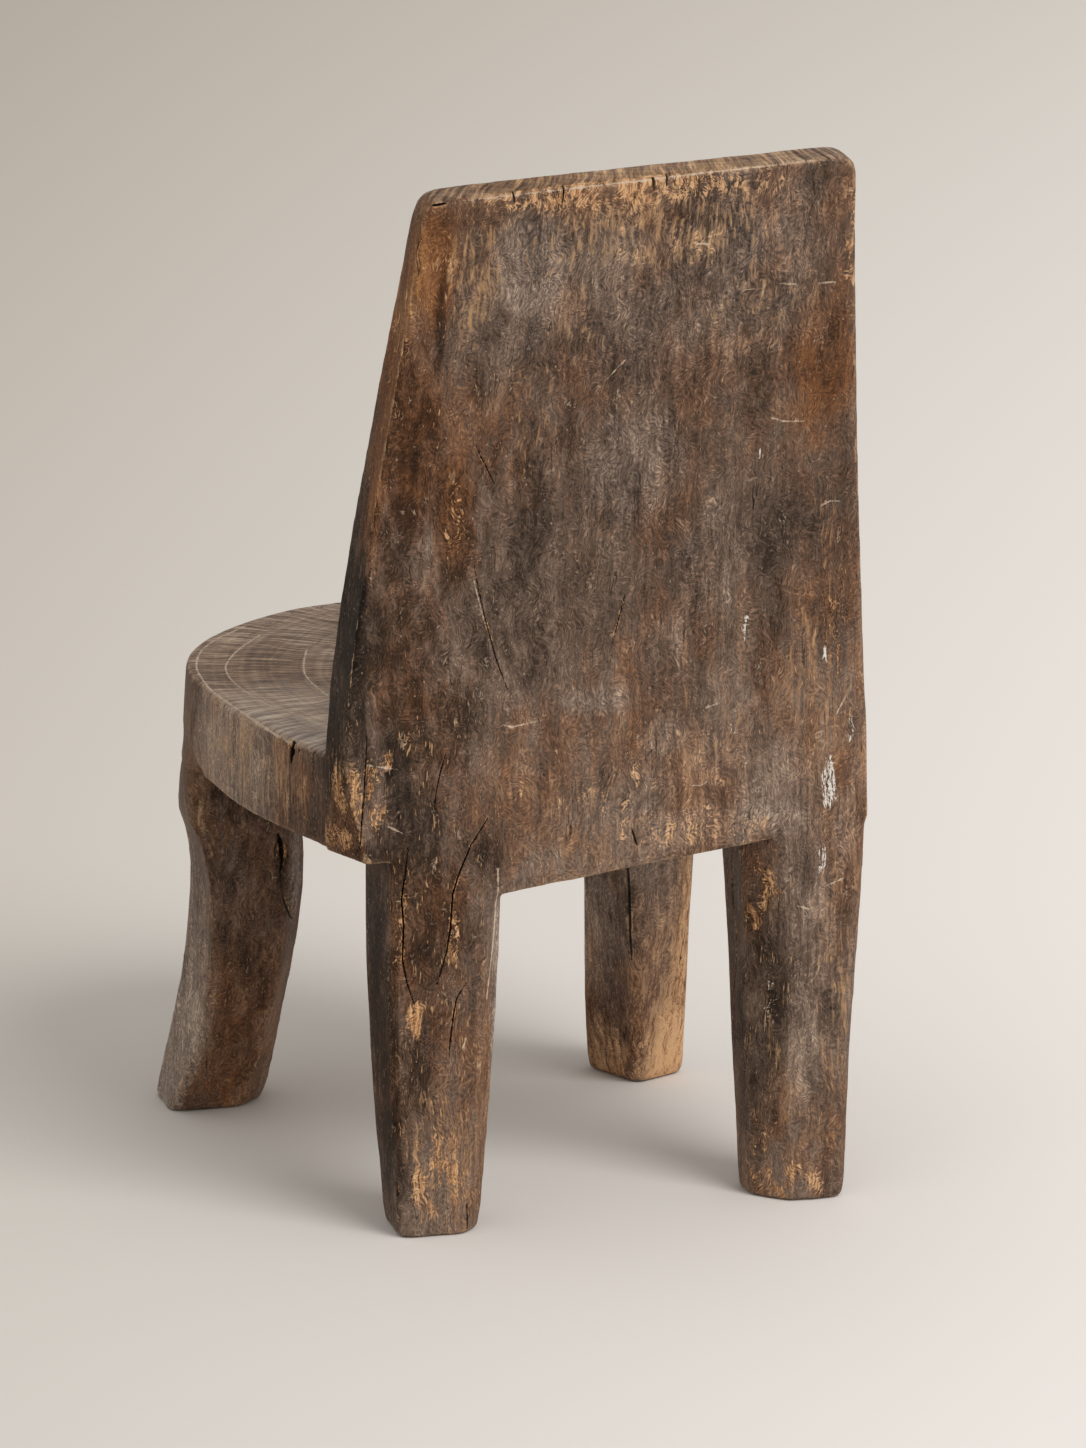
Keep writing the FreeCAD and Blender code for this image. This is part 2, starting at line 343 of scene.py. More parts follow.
points = points_of(skin)
facing = normals_of(skin)
x, y, z = points.T
behind = step(facing[:, 1], *partly_back) * (y > back_start)
shield = step(np.interp(z, shield_heights, shield_left) - x, *shield_left_slope)
shield = shield * step(x - shield_right, *shield_right_slope)
shield *= step(z, *shield_foot) * (1 - step(z, *shield_head))
points[:, 1] -= behind * shield * shield_depth
points[:, 1] -= behind * edge_fall * step(x, *edge_fall_across) * step(z, *edge_fall_up)
outside = step(facing[:, 0], *just_turned) * step(x, *shoulder_across) * step(y, *shoulder_forward)
points[:, 0] += outside * np.interp(z, shoulder_heights, shoulder_moves)
put_points(skin, points)
print("shield covers", int((behind * shield > 0.5).sum()), "points")

# %% [markdown]
# Waves of three lengths stand for the strokes of an adze, a knife and rubbing. Solid noise gives the same
# wave on both sides of an edge, so corners stay whole. The soles are kept flat, because the chair stands
# on them.

# %% Leave the waves of the blade
# Each wave: its height, and its lengths across, deep and up.
blade_waves = ((1.5, (110, 110, 150)), (0.7, (42, 42, 70)), (0.22, (13, 13, 30)))
sole_guard = (1, 12)
points = points_of(skin)
facing = normals_of(skin)
swell = np.zeros(len(points))
for height, lengths in blade_waves:
    swell += height * np.array([noise.noise(Vector(p)) for p in points / lengths])
standing = step(points[:, 2], *sole_guard)
points += facing * (swell * standing)[:, None]
points[:, 2] = np.maximum(points[:, 2], 0)
put_points(skin, points)
print("waves up to", round(float(np.abs(swell).max()), 2), "mm")

# %% [markdown]
# ## Where the wood is worn
# Old wood shows its wear by shape: arrises are rubbed pale and hollows come out darker. The offset of a point
# from the mean of the points around it tells the two apart. It is evened out over the neighbours, so that the
# mark is as wide as real wear, and kept as an attribute that the material can read.

# %% Find arrises and hollows
def store(mesh, name, values):
    """Keeps one number per point as an attribute of the mesh."""
    layer = mesh.attributes.get(name) or mesh.attributes.new(name, "FLOAT", "POINT")
    layer.data.foreach_set("value", np.clip(values, 0, 1).astype(np.float32))


near_passes = 3
mark_passes = 1
arris_full = 0.35
hollow_full = 0.35
end_grain_slope = (0.55, 0.85)
underside_slope = (0.9, 0.98)

points = points_of(skin)
facing = normals_of(skin)
mean = np.stack([spread(axis, edges, near_passes) for axis in points.T], axis=1)
bulge = spread(((points - mean) * facing).sum(1), edges, mark_passes)
store(skin, "arris", bulge / arris_full)
store(skin, "hollow", -bulge / hollow_full)
end_grain = np.maximum(step(facing[:, 2], *end_grain_slope), step(-facing[:, 2], *underside_slope))
store(skin, "end_grain", end_grain)
print("bulge from", round(float(bulge.min()), 2), "to", round(float(bulge.max()), 2), "mm")

# %% [markdown]
# ## Cracks and scratches
# A drying log opens along its grain. The longest cracks run down from the back into the left rear leg.
# They are real grooves here: the skin is divided finely along each line, and the points near the line are
# pushed in. Each line is a short list of places in millimetres, chosen on the face that it marks.

# %% Draw the cracks
# A face is seen from outside: the axis across it, the axis up it, and the axis that it faces.
seen_faces = {"rear": (0, 2, 1), "left": (1, 2, 0), "top": (0, 1, 2)}

# Where a mark lies: the face that carries it, and from where to where along the axis that it faces.
at_back = ("rear", 100, 400)
at_front_legs = ("rear", -400, 60)
at_left = ("left", 120, 400)
at_right_leg = ("left", -125, -95)
at_seat_top = ("top", 300, 340)
at_back_top = ("top", 690, 760)

# Each crack: where it lies, half its width, its depth, and its places across and up.
cracks = {
    "back_left_high": (at_back, 0.45, 1.6, ((99, 552), (95, 543), (84, 523))),
    "back_left_low": (at_back, 0.55, 2.0, ((98, 468), (95, 453), (87, 422), (81, 401), (71, 374))),
    "back_middle": (at_back, 0.4, 1.0, ((-12, 439), (-7, 418), (-3, 403))),
    "top_crease": (at_back, 0.9, 1.6, ((140, 720), (129, 722))),
    "top_nick_left": (at_back, 0.6, 1.5, ((83, 731), (82, 720))),
    "top_nick_middle": (at_back, 0.7, 2.0, ((47, 733), (48, 717))),
    "top_nick_right": (at_back, 0.6, 1.5, ((-26, 736), (-25, 724))),
    "corner": (at_back, 0.55, 3.0, ((173, 356), (174, 336), (175, 316), (177, 294), (178, 270))),
    "haunch": (at_back, 0.45, 2.5, ((117, 339), (121, 325), (124, 311), (125, 302), (123, 299))),
    "main": (at_back, 0.9, 4.0, (
        (87, 291), (99, 273), (107, 255), (112, 240), (113, 229), (114, 217), (117, 200), (124, 179))),
    "leg_left": (at_back, 0.75, 3.0, (
        (144, 278), (145, 260), (148, 239), (147, 221), (148, 197), (145, 181), (140, 166))),
    "leg_right": (at_back, 0.6, 2.5, (
        (102, 180), (110, 168), (112, 159), (114, 145), (115, 136), (116, 123))),
    "apron": (at_back, 0.7, 2.0, ((-17, 274), (-21, 261))),
    "left_foot": (at_back, 0.6, 2.5, ((104, 22), (103, 2))),
    "left_foot_hole": (at_back, 2.2, 4.0, ((153, 41), (152, 30))),
    "front_leg_knot": (at_front_legs, 3.6, 6.0, ((143, 214), (140, 206), (137, 194), (138, 181))),
    "front_leg_tail": (at_front_legs, 1.4, 4.0, ((138, 177), (133, 163), (125, 144))),
    "right_leg_ridge": (at_front_legs, 0.8, 1.5, ((-113, 178), (-115, 150), (-117, 120), (-119, 100))),
    "right_leg_strip": (at_right_leg, 0.9, 4.0, (
        (176, 241), (173, 224), (176, 202), (182, 187), (179, 158), (170, 129))),
    "rim_notch": (at_left, 4.0, 6.0, ((126, 350), (121, 316))),
    "rim_notch_top": (at_seat_top, 2.6, 5.0, ((212, 125), (193, 122))),
    "rim": (at_left, 0.6, 2.5, ((151, 330), (150, 310))),
}

# Each fold: the same, but it is a shallow hollow round an old knot, without a dark gap.
folds = {
    "front_leg_fold": (at_front_legs, 9.0, 5.0, ((143, 214), (137, 194), (138, 180), (133, 163), (125, 144))),
    "haunch_fold": (at_back, 9.0, 2.0, ((84, 285), (96, 268), (106, 245), (112, 215))),
}
print(len(cracks), "cracks and", len(folds), "folds")

# %% [markdown]
# Knocks have left scratches, and wear has left hard rings and arrises pale. These lines have hardly any
# depth, but they are drawn the same way as the cracks, so that one piece of code can mark them all.

# %% Draw the pale lines
# Each scratch: where it lies, and its places.
scratch_half_width = 0.4
scratch_depth = 0.25
scratches = (
    (at_back, ((-87, 647), (-95, 647))),
    (at_back, ((-109, 650), (-125, 648))),
    (at_back, ((-139, 648), (-155, 648))),
    (at_back, ((-49, 682), (-59, 681))),
    (at_back, ((-110, 556), (-120, 552), (-136, 551))),
    (at_back, ((-150, 490), (-157, 493), (-169, 492))),
    (at_back, ((10, 587), (-7, 605))),
    (at_back, ((-69, 354), (-81, 357))),
    (at_back, ((80, 356), (69, 353), (48, 356))),
    (at_back, ((174, 336), (148, 330))),
    (at_back, ((164, 295), (144, 284))),
    (at_back, ((-165, 340), (-174, 357))),
    (at_back, ((-58, 301), (-67, 300), (-73, 303))),
    (at_back, ((-135, 210), (-147, 206))),
    (at_back, ((-153, 220), (-172, 227))),
    (at_back, ((153, 238), (147, 238))),
    (at_back, ((104, 140), (106, 131))),
    (at_back, ((100, 468), (97, 453), (89, 424))),
    (at_back, ((139, 722), (60, 725.5), (-60, 731), (-158, 735))),
)

# Each rubbed line: where it lies, and its places along an arris or a hard ring.
rubbed_lines = (
    (at_seat_top, (
        (187, 163), (196, 118), (202, 60), (203, 0), (201, -52), (190, -110), (165, -160), (120, -205))),
    (at_seat_top, ((120, -173), (162, -118), (179, -74), (182, -11), (179, 33))),
    (at_seat_top, ((102, -122), (118, -83), (129, -44), (132, 13))),
    (at_back, ((80, 255), (79, 228), (83, 195), (88, 165))),
)
print(len(scratches), "scratches and", len(rubbed_lines), "rubbed lines")

# %% [markdown]
# A groove needs points to push in. Dividing the whole skin would make it far too heavy, so only the faces
# close to a line are divided. Rubbed lines follow rings, so their corners are cut off first.

# %% Divide the skin along the lines
def rounded(line, passes=2):
    """Cuts the corners off a line of straight runs, so that it bends like a ring."""
    line = np.array(line, float)
    for _ in range(passes):
        cuts = np.stack([0.75 * line[:-1] + 0.25 * line[1:], 0.25 * line[:-1] + 0.75 * line[1:]], axis=1)
        line = np.concatenate([line[:1], cuts.reshape(-1, 2), line[-1:]])
    return line


def along_line(places, line):
    """Each place's distance from a line of straight runs, and how far along the line it lies, from 0 to 1."""
    line = np.array(line, float)
    runs = np.hypot(*np.diff(line, axis=0).T)
    start = np.concatenate([[0], np.cumsum(runs)[:-1]])
    best = np.full(len(places), 1e9)
    share = np.zeros(len(places))
    for a, b, length, before in zip(line[:-1], line[1:], runs, start):
        t = np.clip(((places - a) @ (b - a)) / length ** 2, 0, 1)
        gap = np.hypot(*(places - a - t[:, None] * (b - a)).T)
        nearer = gap < best
        best = np.where(nearer, gap, best)
        share = np.where(nearer, (before + t * length) / runs.sum(), share)
    return best, share


def on_face(where, places, directions):
    """The places as seen on a face, and how squarely each one faces the viewer there."""
    face, start, end = where
    across, up, outward = seen_faces[face]
    square = step(directions[:, outward], *just_turned)
    square = square * (places[:, outward] > start) * (places[:, outward] < end)
    return places[:, (across, up)], square


fine_reach = 2.6
fine_cuts = 3
lines = [("crack", *crack) for crack in cracks.values()]
lines += [("fold", *fold) for fold in folds.values()]
lines += [("scratch", where, scratch_half_width, scratch_depth, line) for where, line in scratches]
lines += [("rubbed", where, scratch_half_width, 0, rounded(line)) for where, line in rubbed_lines]
points = points_of(skin)
facing = normals_of(skin)
close = np.zeros(len(points), bool)
for kind, where, half_width, depth, line in lines:
    seen, square = on_face(where, points, facing)
    gap, _ = along_line(seen, line)
    close |= (gap < half_width + fine_reach) & (square > 0)
bm = bmesh.new()
bm.from_mesh(skin)
fine = [e for e in bm.edges if close[e.verts[0].index] and close[e.verts[1].index]]
bmesh.ops.subdivide_edges(bm, edges=fine, cuts=fine_cuts, use_grid_fill=True)
bmesh.ops.triangulate(bm, faces=[f for f in bm.faces if len(f.verts) > 4])
bm.to_mesh(skin)
bm.free()
print("divided skin:", len(skin.vertices), "points")

# %% [markdown]
# Wood tears along its fibres, so a crack is never an even groove. A solid noise shifts and widens each line,
# and it tapers to its ends. The same distances give three marks to the material: the dark gap, the torn
# wood beside it, and the pale scratch.

# %% Push the lines in
wander = 0.6
wander_length = 4.0
width_change = 0.9
blunt_end = 0.02
least_width = 0.05
gap_core = 0.5
gap_fade = 0.25
lip_width = 2.0
torn_strength = 0.9
scratch_band = (0.3, 0.9)
rubbed_band = (0.3, 1.2)

points = points_of(skin)
facing = normals_of(skin)
ragged = np.array([noise.noise(Vector(p)) for p in points / wander_length])
crack_mark = np.zeros(len(points))
lip_mark = np.zeros(len(points))
torn_mark = np.zeros(len(points))
push = np.zeros(len(points))
for kind, where, half_width, depth, line in lines:
    seen, square = on_face(where, points, facing)
    gap, share = along_line(seen, line)
    gap = np.abs(gap + wander * ragged)
    taper = np.sqrt(np.sin(math.pi * np.clip(share, blunt_end, 1 - blunt_end)))
    width = half_width * taper * (1 + width_change * ragged)
    push = np.maximum(push, depth * taper * square * (1 - step(gap, 0, width + least_width)))
    if kind == "crack":
        crack_mark = np.maximum(crack_mark, square * (1 - step(gap, gap_core * width, width + gap_fade)))
        torn = torn_strength * square * taper * (1 - step(gap, width, width + lip_width))
        torn_mark = np.maximum(torn_mark, torn)
    elif kind == "scratch":
        lip_mark = np.maximum(lip_mark, square * taper * (1 - step(gap, *scratch_band)))
    elif kind == "rubbed":
        lip_mark = np.maximum(lip_mark, square * (1 - step(gap, *rubbed_band)))
points -= facing * push[:, None]
put_points(skin, points)
store(skin, "crack", crack_mark)
store(skin, "lip", lip_mark * (1 - crack_mark))
print("deepest crack", round(float(push.max()), 1), "mm")

# %% [markdown]
# ## Stains, rubbed spots and chips
# The old surface isn't even: oil has kept some stretches warm, smoke has darkened others, and hands have
# polished some grey. Part of that darkening is painted shade: on the front left leg under the seat's rim and
# in the fold round its knot, and on the sides turned from the lamp. Part of the polished grey is a painted
# sheen. Painting them by hand would need a picture. Here each spot is a soft ellipse. It only says how much
# of a finish there is: the material breaks its edge up along the grain.

# %% Place the stains
# Each spot: where it lies, its middle and its half sizes across and up, and its strength.
stains = {
    "warm": (
        (at_back, (113, 501), (16, 50), 1.0), (at_back, (-147, 596), (26, 62), 0.65),
        (at_back, (133, 672), (16, 55), 1.0), (at_back, (-67, 423), (14, 58), 0.5),
        (at_back, (140, 374), (16, 18), 0.8), (at_back, (143, 566), (24, 80), 0.8),
        (at_back, (148, 400), (30, 70), 0.75), (at_front_legs, (-135, 60), (40, 90), 1.0),
        (at_back, (135, 220), (40, 60), 0.5), (at_back, (-10, 715), (140, 22), 0.5),
        (at_back, (-110, 220), (20, 50), 0.7), (at_right_leg, (-95, 25), (45, 60), 0.9),
        (at_back, (-50, 272), (110, 18), 0.2), (at_back_top, (0, 240), (170, 40), 0.8),
        (at_left, (205, 300), (40, 60), 0.6), (at_left, (0, 300), (110, 40), 0.35),
        (at_left, (195, 130), (45, 150), 0.3), (at_seat_top, (150, -20), (60, 160), 0.4),
        (at_front_legs, (165, 130), (50, 150), 0.35), (at_left, (240, 580), (50, 150), 0.8),
        (at_back, (30, 330), (120, 50), 0.25), (at_back, (125, 365), (32, 62), 0.5),
        (at_back, (32, 626), (22, 40), 0.4)),
    # Soot is partly painted shade: its spots under the seat's rim on the front left leg, in the fold round
    # the knot and on the sides turned from the lamp darken where shade falls.
    "soot_and_painted_shade": (
        (at_back, (182, 400), (16, 100), 0.9), (at_left, (200, 400), (60, 130), 0.9),
        (at_back, (140, 290), (26, 60), 0.6), (at_back, (88, 262), (18, 26), 0.45),
        (at_back, (-114, 412), (20, 110), 0.35), (at_back, (128, 640), (5, 60), 0.65),
        (at_back, (-118, 140), (17, 110), 0.4), (at_front_legs, (165, 150), (46, 150), 0.4),
        (at_back, (88, 510), (15, 65), 0.35), (at_right_leg, (205, 80), (30, 60), 0.4),
        (at_front_legs, (139, 190), (8, 22), 0.7), (at_back, (150, 395), (36, 90), 0.68),
        (at_back, (146, 560), (28, 80), 0.55), (at_back, (128, 225), (45, 60), 0.4),
        (at_back, (118, 490), (26, 60), 0.5), (at_back, (178, 330), (16, 40), 0.65),
        (at_left, (195, 130), (45, 150), 0.75), (at_left, (205, 285), (30, 40), 0.6),
        (at_back, (165, 278), (16, 20), 0.7), (at_left, (150, 300), (30, 40), 0.2),
        (at_back, (163, 130), (13, 120), 0.85), (at_back, (142, 112), (20, 36), 0.5),
        (at_back, (120, 360), (36, 64), 0.6), (at_right_leg, (190, 130), (16, 60), 0.4),
        (at_back, (148, 488), (28, 56), 0.65), (at_back, (58, 490), (22, 100), 0.55),
        (at_back, (28, 548), (26, 40), 0.35), (at_back, (-9, 310), (28, 26), 0.45),
        (at_back, (150, 320), (15, 34), 0.8), (at_back, (95, 610), (22, 46), 0.4),
        (at_back, (155, 36), (18, 30), 0.6), (at_back, (84, 432), (40, 52), 0.45),
        (at_front_legs, (160, 245), (50, 35), 0.6), (at_back, (55, 408), (26, 40), 0.5),
        (at_back, (64, 622), (16, 26), 0.4), (at_back, (-99, 585), (18, 40), 0.45),
        (at_back, (-107, 331), (18, 20), 0.35)),
    # The grey of polish is partly a painted sheen: the sky's reflection on oiled wood, drawn as colour.
    "polish_and_painted_sheen": (
        (at_back, (66, 676), (34, 48), 1.12), (at_back, (-16, 530), (46, 50), 0.7),
        (at_back, (7, 366), (36, 14), 0.6), (at_back, (-150, 190), (22, 70), 0.4),
        (at_back, (-60, 300), (110, 45), 0.4), (at_left, (-130, 60), (60, 150), 1.0),
        (at_left, (20, 300), (105, 45), 1.0), (at_back, (78, 130), (7, 130), 0.9),
        (at_back, (-20, 660), (160, 90), 0.6), (at_front_legs, (-120, 100), (50, 150), 0.8),
        (at_seat_top, (185, 70), (25, 110), 1.0), (at_front_legs, (-145, 20), (45, 45), 0.8),
        (at_front_legs, (126, 180), (8, 45), 0.8), (at_back, (-70, 714), (90, 22), 0.75),
        (at_right_leg, (-90, 120), (40, 80), 0.8), (at_back, (-80, 272), (80, 22), 0.75),
        (at_back, (-72, 460), (24, 62), 0.55), (at_back, (-41, 400), (24, 30), 0.45),
        (at_back, (-140, 120), (16, 70), 0.56), (at_seat_top, (160, 60), (50, 110), 1.0),
        (at_back_top, (-50, 240), (120, 40), 0.5), (at_back, (-92, 684), (34, 34), 0.85),
        (at_back, (-173, 262), (14, 40), 0.7), (at_back, (-41, 336), (24, 20), 0.7),
        (at_back, (30, 626), (16, 36), 0.6)),
}
print({finish: len(group) for finish, group in stains.items()})

# %% [markdown]
# Elsewhere the old surface has gone. Flakes have broken off down to the bare wood, tan streaks show along the
# grain where it is rubbed thin, the front right foot has faded, and there are fine flecks. Specks of a pale
# residue stick to the right side. These spots are placed in the same way.

# %% Place the losses
losses = {
    "bare": (
        (at_left, (203, 316), (18, 30), 0.88), (at_back, (182, 316), (11, 30), 0.9),
        (at_left, (190, 280), (30, 15), 0.9), (at_back, (160, 338), (9, 10), 0.9),
        (at_back, (142, 352), (6, 9), 0.74), (at_back, (66, 308), (9, 14), 0.75),
        (at_back, (139, 155), (8, 20), 1.0), (at_back, (166, 318), (11, 44), 0.74),
        (at_back, (150, 225), (10, 44), 0.7), (at_back, (112, 210), (6, 40), 0.65),
        (at_back, (-118, 210), (14, 40), 0.78), (at_front_legs, (-140, 10), (45, 60), 0.62),
        (at_back, (122, 40), (32, 50), 0.75), (at_back, (-129, 14), (34, 20), 0.75),
        (at_back, (130, 690), (18, 30), 0.65), (at_back, (112, 498), (12, 42), 0.7),
        (at_back, (0, 722), (150, 18), 0.85), (at_back, (-165, 400), (10, 60), 0.65),
        (at_back, (-40, 690), (110, 40), 0.5), (at_back, (-30, 300), (110, 50), 0.5),
        (at_right_leg, (-95, 10), (45, 60), 0.6), (at_back, (-60, 268), (100, 14), 0.7),
        (at_left, (60, 305), (120, 36), 0.55), (at_left, (235, 600), (40, 130), 0.65),
        (at_back, (-163, 680), (8, 60), 0.66), (at_back, (-115, 50), (12, 40), 0.6)),
    "streaked": (
        (at_back, (105, 670), (30, 60), 0.95), (at_back, (-20, 694), (140, 40), 0.9),
        (at_back, (-100, 640), (50, 60), 0.7), (at_back, (60, 570), (30, 60), 0.6),
        (at_back, (-60, 330), (70, 50), 0.5), (at_back, (125, 60), (36, 70), 0.7),
        (at_back, (-118, 70), (26, 90), 0.5), (at_back, (-160, 150), (22, 110), 0.8),
        (at_front_legs, (-140, 90), (34, 90), 0.8), (at_left, (60, 300), (140, 40), 0.9),
        (at_back, (30, 300), (120, 50), 0.4), (at_back, (-150, 420), (30, 120), 0.6),
        (at_back, (112, 500), (16, 50), 0.5), (at_back, (32, 630), (22, 40), 0.75)),
    "faded": (
        (at_front_legs, (-160, 0), (30, 90), 1.0), (at_right_leg, (-95, 0), (45, 60), 0.5),
        (at_front_legs, (-170, 90), (22, 110), 0.75)),
    "flecked": (
        (at_back, (140, 300), (60, 90), 1.0), (at_back, (125, 130), (50, 150), 1.0),
        (at_back, (-140, 120), (60, 150), 0.8), (at_back, (-150, 340), (40, 120), 0.9),
        (at_back, (0, 300), (150, 50), 0.6), (at_back, (110, 620), (60, 110), 0.7),
        (at_back, (0, 715), (160, 24), 0.9), (at_left, (200, 300), (40, 80), 1.0),
        (at_front_legs, (160, 120), (50, 150), 0.5), (at_front_legs, (-130, 60), (50, 120), 0.7)),
    "residue": (
        (at_back, (-160, 292), (8, 28), 1.0), (at_back, (-155, 240), (5, 16), 1.0),
        (at_back, (-157, 386), (4, 14), 0.9), (at_back, (-176, 330), (5, 14), 0.9),
        (at_back, (-90, 337), (4, 10), 0.9), (at_back, (-98, 408), (4, 16), 0.85),
        (at_back, (-105, 529), (3, 8), 0.9), (at_back, (-120, 150), (8, 50), 0.6)),
}
print({finish: len(group) for finish, group in losses.items()})

# %% [markdown]
# Each finish becomes one number per point, the strongest of its spots there, and is kept on the mesh as an
# attribute. The wood torn beside the cracks counts as bare.

# %% Keep the spots as marks
spot_fade = (0.35, 1.3)
spots = {**stains, **losses}
for finish, group in spots.items():
    amount = torn_mark if finish == "bare" else np.zeros(len(points))
    for where, middle, half, strength in group:
        seen, square = on_face(where, points, facing)
        off = np.hypot(*((seen - middle) / half).T)
        amount = np.maximum(amount, strength * square * (1 - step(off, *spot_fade)))
    store(skin, finish, amount)
    print(finish, "on", int((amount > 0.5).sum()), "points")

# %% [markdown]
# ## Six members
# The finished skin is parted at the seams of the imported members, so that each member is a piece of its own
# with closed ends. Each member gets a block of space, whose cuts are taken from the members' boxes. The
# legs are cut a little below their seams, so that the cut doesn't graze the wavy underside of the seat.

# %% Mark out the space of each member
far = 1.0
below_seam = 11 * mm
leg_cut = leg_seam - below_seam
mid_depth = 60 * mm
leg_room = 4 * mm
left_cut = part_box("rear_left_leg")[0].x - leg_room
right_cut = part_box("rear_right_leg")[1].x + leg_room

# Each space: its outline across and up, and where it starts and ends from front to back.
above = ((-far, leg_cut), (far, leg_cut), (far, far), (-far, far))
left_below = ((left_cut, -far), (far, -far), (far, leg_cut), (left_cut, leg_cut))
right_below = ((-far, -far), (right_cut, -far), (right_cut, leg_cut), (-far, leg_cut))
front_left_below = ((0, -far), (far, -far), (far, leg_cut), (0, leg_cut))
front_right_below = ((-far, -far), (0, -far), (0, leg_cut), (-far, leg_cut))
above_with_apron = (
    (right_cut, -far), (left_cut, -far), (left_cut, leg_cut), (far, leg_cut),
    (far, far), (-far, far), (-far, leg_cut), (right_cut, leg_cut))
spaces = {
    "seat": (above, -far, back_seam),
    "backrest": (above_with_apron, back_seam, far),
    "rear_left_leg": (left_below, mid_depth, far),
    "rear_right_leg": (right_below, mid_depth, far),
    "front_left_leg": (front_left_below, -far, mid_depth),
    "front_right_leg": (front_right_below, -far, mid_depth),
}
print("legs are cut", round(leg_cut / mm, 1), "mm above the floor")

# %% [markdown]
# A Boolean intersection of the skin with each block parts it and caps the cuts. Cutting with bisect planes
# would work too, but the backrest and its apron need a stepped cut, which a block makes in one go.

# %% Part the skin
def block(outline, start, end):
    """A closed block of space from an outline across and up."""
    shape = bmesh.new()
    face = shape.faces.new([shape.verts.new((across, start, up)) for across, up in outline])
    swept = bmesh.ops.extrude_face_region(shape, geom=[face])["geom"]
    ends = [part for part in swept if isinstance(part, bmesh.types.BMVert)]
    bmesh.ops.translate(shape, verts=ends, vec=(0, end - start, 0))
    bmesh.ops.recalc_face_normals(shape, faces=shape.faces)
    made = bpy.data.objects.new("space", bpy.data.meshes.new("space"))
    shape.to_mesh(made.data)
    shape.free()
    scene.collection.objects.link(made)
    return made


pieces = {}
for name, (outline, start, end) in spaces.items():
    space = block(outline, start, end)
    whole = bpy.data.objects.new("whole", skin.copy())
    scene.collection.objects.link(whole)
    part = whole.modifiers.new("part", "BOOLEAN")
    part.operation = "INTERSECT"
    part.solver = "MANIFOLD"
    part.object = space
    made = bpy.data.meshes.new_from_object(whole.evaluated_get(bpy.context.evaluated_depsgraph_get()))
    made.name = "carved_" + name
    piece = bpy.data.objects.new("carved_" + name, made)
    scene.collection.objects.link(piece)
    pieces[name] = piece
    bpy.data.objects.remove(whole)
    bpy.data.objects.remove(space)
    print(name, len(made.polygons), "faces")

# %% [markdown]
# The whole skin's normals and marks are copied to the nearest points of the pieces. Both sides of a seam
# then shade and wear alike, and no line shows.

# %% Copy the skin's normals and marks to the pieces
marks = ("arris", "hollow", "end_grain", "crack", "lip", *spots)
tree_of_points = KDTree(len(skin.vertices))
for i, v in enumerate(skin.vertices):
    tree_of_points.insert(v.co, i)
tree_of_points.balance()
skin_facing = normals_of(skin)
skin_marks = {}
for name in marks:
    skin_marks[name] = np.empty(len(skin.vertices), np.float32)
    skin.attributes[name].data.foreach_get("value", skin_marks[name])
for name, piece in pieces.items():
    mesh = piece.data
    nearest = np.array([tree_of_points.find(v.co)[1] for v in mesh.vertices])
    for mark in marks:
        store(mesh, mark, skin_marks[mark][nearest])
    mesh.shade_smooth()
    mesh.normals_split_custom_set_from_vertices(skin_facing[nearest].tolist())
    triangles = sum(len(p.vertices) - 2 for p in mesh.polygons)
    print(name, triangles, "triangles")

# %% [markdown]
# ## Old oiled hardwood
# The wood is a dense brown hardwood, cut with a blade, then oiled and darkened by smoke and hands. Its
# fibres run upright through the whole log, so the grain is a solid pattern in the chair's own space: long
# streaks on the sides and rings on the seat come from one and the same log. Pictures wrapped round the
# pieces would not meet at their edges.

# %% Lay out the grain
# Old oiled hardwood: to the eye a dull brown skin with fine upright streaks and a soft sheen, grey where
# smoke and hands have been, and tan where it is rubbed through. Part of the smoke's darkening is painted
# shade, and part of the hands' grey is a painted sheen.
wood = new_material("old_oiled_hardwood")
tree = wood.node_tree
place = add(tree, "TexCoord", {}, out="Object")
place_mm = add(tree, "VectorMath", {0: place, "Scale": 1 / mm}, operation="SCALE")

# The fibres wander by a few millimetres, as round small knots. The dried skin of oil swirls more.
knot_size = 28
fibre_wander = (8, 8, 8)
oil_swirl = (45, 45, 45)
noise_middle = 0.5
turmoil = add(tree, "TexNoise", {"Vector": place_mm, "Scale": 1 / knot_size, "Detail": 2.0}, out="Color")
turmoil = add(tree, "VectorMath", {0: turmoil, 1: [noise_middle] * 3}, operation="SUBTRACT")
bent = add(tree, "VectorMath", {0: turmoil, 1: fibre_wander, 2: place_mm}, operation="MULTIPLY_ADD")
swirled = add(tree, "VectorMath", {0: turmoil, 1: oil_swirl, 2: place_mm}, operation="MULTIPLY_ADD")

